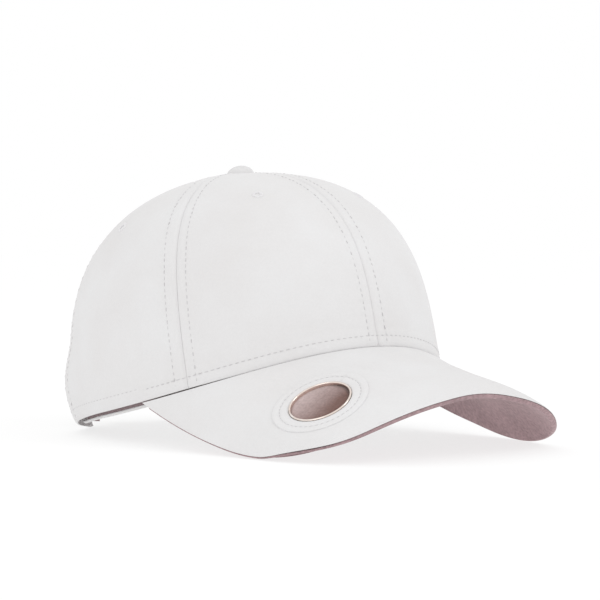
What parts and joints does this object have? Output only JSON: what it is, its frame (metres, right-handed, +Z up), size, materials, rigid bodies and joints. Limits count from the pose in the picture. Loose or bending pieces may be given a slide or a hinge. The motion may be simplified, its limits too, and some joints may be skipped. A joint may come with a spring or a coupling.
{
  "type": "structured cap",
  "caption": "Structured panelled cap with a covered top button, a long curved visor with a round metal-rimmed recess, and a buckled strap across the back opening.",
  "frame": {"origin": "on the ground under the middle of the cap's bounding box, as it rests", "axes": "+Z up, -Y along the visor, +X to the wearer's left"},
  "size_m": [0.1784, 0.2732, 0.1354],
  "materials": {
    "cap_cloth": "white cotton twill, fine weave, matt",
    "strap_cloth": "white cotton twill strap with stitched edges",
    "buckram": "stiff open-weave backing",
    "seam_tape": "folded cotton tape, matt",
    "sweatband_cloth": "dusty mauve cotton, matt",
    "under_visor_cloth": "dusty mauve napped cloth, matt",
    "label_cloth": "blank woven label",
    "visor_board": "stiff white board",
    "polished_ring": "polished rolled rim",
    "button_metal": "plain steel",
    "eyelet_thread": "embroidered thread",
    "buckle_metal": "antique brass, slightly worn"
  },
  "bodies": {
    "cap": {"front_panel_right": "cap_cloth", "front_panel_left": "cap_cloth", "side_panel_right": "cap_cloth", "side_panel_left": "cap_cloth", "back_panel_right": "cap_cloth", "back_panel_left": "cap_cloth", "buckram_right": "buckram", "buckram_left": "buckram", "seam_tape_front": "seam_tape", "seam_tape_front_right": "seam_tape", "seam_tape_front_left": "seam_tape", "seam_tape_back_right": "seam_tape", "seam_tape_back_left": "seam_tape", "seam_tape_back": "seam_tape", "sweatband": "sweatband_cloth", "blank_size_label": "label_cloth", "back_opening_binding": "cap_cloth", "visor_top_cover": "cap_cloth", "visor_board": "visor_board", "visor_bottom_cover": "under_visor_cloth", "visor_edge_welt": "under_visor_cloth", "recess_ring": "polished_ring", "recess_facing": "cap_cloth", "recess_disc": "under_visor_cloth", "top_button_shell": "cap_cloth", "top_button_shank": "button_metal", "vent_eyelets": "eyelet_thread", "buckle_tab": "strap_cloth", "buckle_frame": "buckle_metal", "buckle_pin": "button_metal"},
    "strap": {"closure_strap": "strap_cloth"},
    "lever": {"buckle_lever": "buckle_metal"}
  },
  "joints": [
    {"name": "strap_adjust", "type": "hinge", "parent": "cap", "child": "strap", "pos_m": [0, 0.04915, 0.01552], "axis": [0, 0.2375, 0.9714], "range_deg": [-8, 13]},
    {"name": "buckle_lever_hinge", "type": "hinge", "parent": "cap", "child": "lever", "pos_m": [-0.0258, 0.12861, 0.01977], "axis": [0, 0.2375, 0.9714], "range_deg": [0, 100]}
  ]
}
